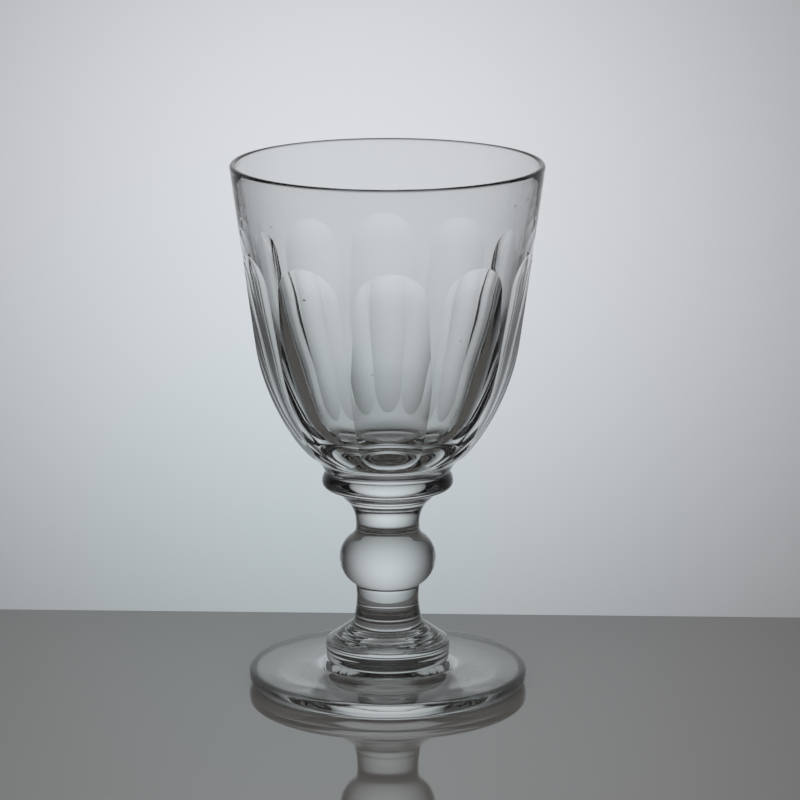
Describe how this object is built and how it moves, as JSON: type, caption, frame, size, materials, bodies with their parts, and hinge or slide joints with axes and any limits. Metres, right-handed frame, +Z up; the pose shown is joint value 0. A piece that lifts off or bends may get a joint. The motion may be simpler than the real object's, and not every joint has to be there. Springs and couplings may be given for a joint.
{
  "type": "rummer glass",
  "caption": "Clear drinking glass with a deep bowl cut with broad flat flutes, a merese, a short knopped stem, a domed step collar and a round disc foot.",
  "frame": {"origin": "centre of the glass on the plane it stands on", "axes": "+Z up along the axis of the glass; one flute faces -Y and the opposite one +Y"},
  "size_m": [0.082, 0.082, 0.14],
  "materials": {
    "clear_glass": "fire-polished, with wheel-cut and polished flutes"
  },
  "bodies": {
    "root": {"bowl": "clear_glass", "merese": "clear_glass", "knopped_stem": "clear_glass", "step_collar": "clear_glass", "foot": "clear_glass"}
  },
  "joints": []
}
